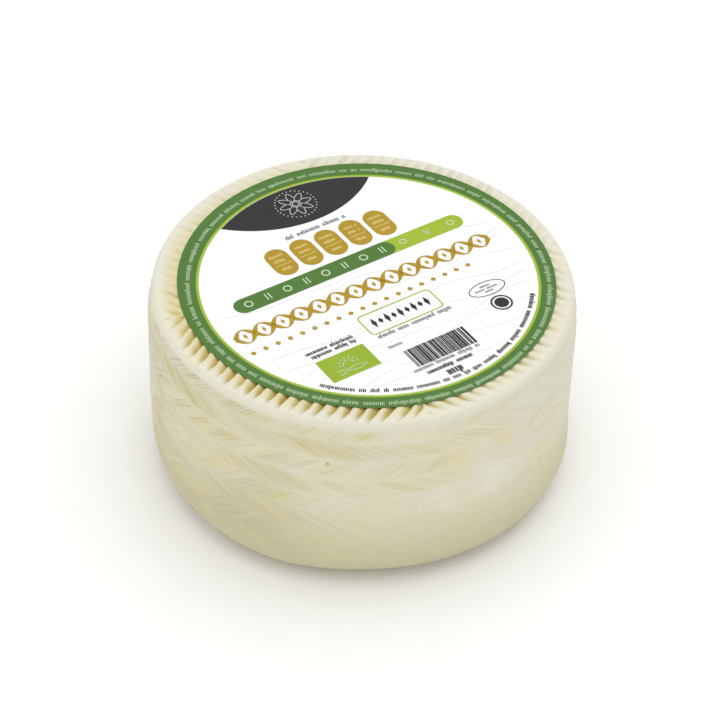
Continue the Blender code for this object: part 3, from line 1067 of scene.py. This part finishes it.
printLabel()
paperPoints, paperTopPoint, paperLowPoint = paperSurface()
paperMesh = turnedMesh("labelPaper", paperPoints, paperTopPoint, paperLowPoint)
out = outFromCentre(paperPoints[..., 0], paperPoints[..., 1])
# the cut edge takes the green ink as painted shade, for the dark line under the label's edge
cutEdge = np.concatenate([(out > paper["cutEdge"]).astype(float).ravel(), [0, 0]])
paperMesh.attributes.new("cutEdge", "FLOAT", "POINT").data.foreach_set("value", cutEdge)
paperSheet = coatedMaterial("labelSheet", paper["white"], edge=(*inks["green"], 1))
paperPiece = newObject("labelPaper", paperMesh, paperSheet)
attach(paperPiece, "root")
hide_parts("paper_label")
print("label: paper and nine inks")


# Floor, light and camera

studio = dict(
    floorSize=3.0, floorColour=(0.98, 0.98, 0.98), floorRoughness=0.7, floorMottle=0.01,
    world=(1.0, 1.0, 1.0), worldStrength=0.74,
    keyPlace=(0.08, 0.10, 0.90), keySize=0.90, keyPower=3.2, fillPlace=(0.40, -0.55, 0.40), fillPower=0.22,
    sidePlace=(-0.50, -0.45, 0.36), sidePower=0.70,
)
view = dict(
    azimuth=-33.0, elevation=39.95, roll=1.95, distance=0.618, lens=135.0, sensor=36.0,
    imageSize=720, topCentre=(363.6, 280.8),
)


def makeFloor():
    half = studio["floorSize"] / 2
    corners = [(-half, -half, 0), (half, -half, 0), (half, half, 0), (-half, half, 0)]
    mesh = bpy.data.meshes.new("floor")
    mesh.from_pydata(corners, [], [(0, 1, 2, 3)])
    finish = (studio["floorRoughness"], studio["floorMottle"])
    floor = newObject("floor", mesh, coatedMaterial("floorBoard", studio["floorColour"], *finish))


def addLight(name, place, size, power):
    light = bpy.data.lights.new(name, "AREA")
    light.size = size
    light.energy = power
    lamp = bpy.data.objects.new(name, light)
    bpy.context.scene.collection.objects.link(lamp)
    lamp.location = place
    lamp.rotation_euler = (-lamp.location).to_track_quat("-Z", "Y").to_euler()


def turnedPlace(place):
    # a place given as seen by the camera: right, away, up
    turn = math.radians(view["azimuth"])
    right, away, up = place
    x = right * math.cos(turn) - away * math.sin(turn)
    y = right * math.sin(turn) + away * math.cos(turn)
    return (x, y, up)


def makeLights():
    world = bpy.data.worlds.new("studio")
    bpy.context.scene.world = world
    world.use_nodes = True
    back = world.node_tree.nodes["Background"]
    back.inputs["Color"].default_value = (*studio["world"], 1)
    back.inputs["Strength"].default_value = studio["worldStrength"]
    addLight("keySoftbox", turnedPlace(studio["keyPlace"]), studio["keySize"], studio["keyPower"])
    addLight("fillSoftbox", turnedPlace(studio["fillPlace"]), studio["keySize"], studio["fillPower"])
    addLight("sideSoftbox", turnedPlace(studio["sidePlace"]), studio["keySize"], studio["sidePower"])


def makeCamera():
    # stands at the photo's angle, rolled a little, and aimed so that the top's centre lands on its pixel
    turn, tilt, roll = (math.radians(view[key]) for key in ("azimuth", "elevation", "roll"))
    back = Vector((math.sin(turn) * math.cos(tilt), -math.cos(turn) * math.cos(tilt), math.sin(tilt)))
    level = Vector((math.cos(turn), math.sin(turn), 0))
    upright = back.cross(level)
    right = level * math.cos(roll) + upright * math.sin(roll)
    up = upright * math.cos(roll) - level * math.sin(roll)
    pixel = view["sensor"] / view["lens"] / view["imageSize"]
    offX = (view["topCentre"][0] - view["imageSize"] / 2) * pixel
    offY = (view["imageSize"] / 2 - view["topCentre"][1]) * pixel
    behind = (back + right * offX + up * offY).normalized()
    right = (right - behind * right.dot(behind)).normalized()
    up = behind.cross(right)
    camera = bpy.data.objects.new("camera", bpy.data.cameras.new("camera"))
    camera.data.lens = view["lens"]
    camera.data.sensor_width = view["sensor"]
    bpy.context.scene.collection.objects.link(camera)
    place = Vector((0, 0, wheel["height"])) + back * view["distance"]
    camera.matrix_world = Matrix.Translation(place) @ Matrix((right, up, behind)).transposed().to_4x4()
    bpy.context.scene.camera = camera


makeFloor()
makeLights()
makeCamera()
bpy.context.scene.view_settings.view_transform = "Standard"
print("floor, lights and camera set")
